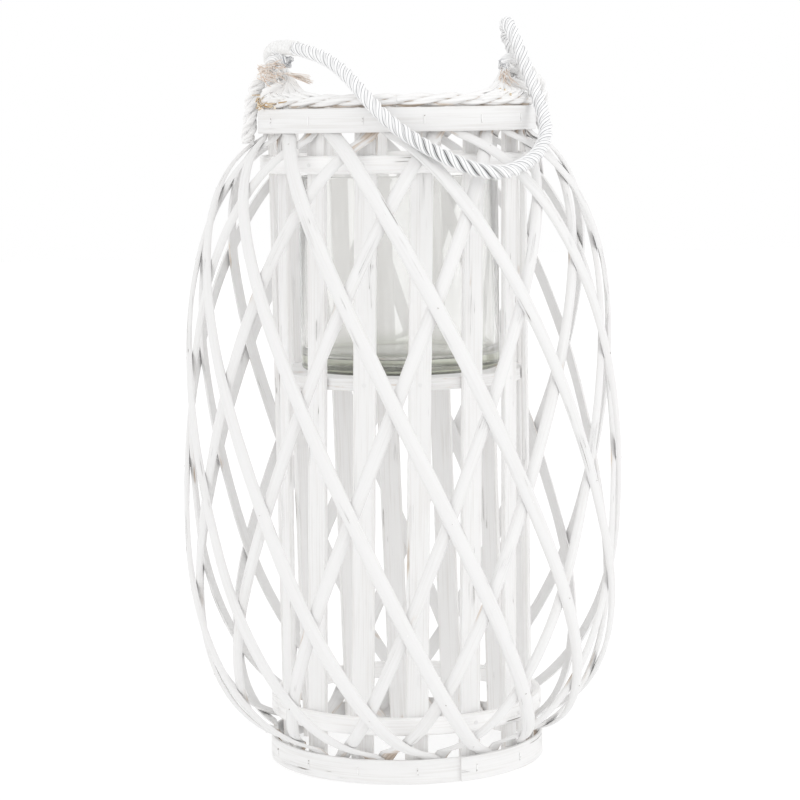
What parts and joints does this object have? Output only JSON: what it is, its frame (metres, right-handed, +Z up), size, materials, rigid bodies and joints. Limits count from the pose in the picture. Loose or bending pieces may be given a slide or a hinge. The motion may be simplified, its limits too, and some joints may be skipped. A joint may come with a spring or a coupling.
{
  "type": "hurricane candle lantern",
  "caption": "Bellied white willow lantern: upright slats inside a crossed cane lattice, a shelf that carries an open glass cylinder for a candle, and a twisted cord handle on rope ears.",
  "frame": {"origin": "centre of the base band's underside, on the surface that the lantern stands on", "axes": "+Z up along the lantern's axis, -Y towards the front where the handle lies, +X to the right of someone who faces it"},
  "size_m": [0.3317, 0.33, 0.5607],
  "materials": {
    "painted_slat": "white-washed poplar, matt, worn to bare wood at the edges",
    "painted_cane": "white-washed split willow, matt, brown where the brush missed",
    "painted_band": "white-washed bent veneer strip, matt",
    "painted_hoop": "white-washed bent cane, matt",
    "willow_plait": "white-washed twisted willow strands",
    "bark_rope": "white-washed bark rope, frayed brown",
    "painted_board": "white-washed layered board",
    "satin_cord": "silver-white satin rope",
    "clear_glass": "clear pressed glass, faintly green in its base",
    "steel_wire": "dull steel wire"
  },
  "bodies": {
    "lantern": {"slat_01": "painted_slat", "slat_02": "painted_slat", "slat_03": "painted_slat", "slat_04": "painted_slat", "slat_05": "painted_slat", "slat_06": "painted_slat", "slat_07": "painted_slat", "slat_08": "painted_slat", "slat_09": "painted_slat", "slat_10": "painted_slat", "slat_11": "painted_slat", "slat_12": "painted_slat", "slat_13": "painted_slat", "slat_14": "painted_slat", "outer_cane_01": "painted_cane", "outer_cane_02": "painted_cane", "outer_cane_03": "painted_cane", "outer_cane_04": "painted_cane", "outer_cane_05": "painted_cane", "outer_cane_06": "painted_cane", "outer_cane_07": "painted_cane", "outer_cane_08": "painted_cane", "outer_cane_09": "painted_cane", "outer_cane_10": "painted_cane", "outer_cane_11": "painted_cane", "outer_cane_12": "painted_cane", "outer_cane_13": "painted_cane", "outer_cane_14": "painted_cane", "inner_cane_01": "painted_cane", "inner_cane_02": "painted_cane", "inner_cane_03": "painted_cane", "inner_cane_04": "painted_cane", "inner_cane_05": "painted_cane", "inner_cane_06": "painted_cane", "inner_cane_07": "painted_cane", "inner_cane_08": "painted_cane", "inner_cane_09": "painted_cane", "inner_cane_10": "painted_cane", "inner_cane_11": "painted_cane", "inner_cane_12": "painted_cane", "inner_cane_13": "painted_cane", "inner_cane_14": "painted_cane", "base_band": "painted_band", "top_band": "painted_band", "upper_hoop": "painted_hoop", "lower_hoop": "painted_hoop", "rim_plait": "willow_plait", "left_ear": "bark_rope", "right_ear": "bark_rope", "shelf_disc": "painted_board", "top_staples": "steel_wire", "base_staples": "steel_wire", "crossing_pins": "steel_wire", "shelf_nails": "steel_wire", "hoop_nails": "steel_wire"},
    "glass": {"glass_cylinder": "clear_glass"},
    "handle": {"handle_cord": "satin_cord", "left_cord_eye": "satin_cord", "right_cord_eye": "satin_cord"}
  },
  "joints": [
    {"name": "glass_lift", "type": "slide", "parent": "lantern", "child": "glass", "axis": [0, 0, 1], "range_m": [0, 0.095]},
    {"name": "handle_swing", "type": "hinge", "parent": "lantern", "child": "handle", "pos_m": [0, 0, 0.5179], "axis": [-1, 0, 0], "range_deg": [0, 110]}
  ]
}
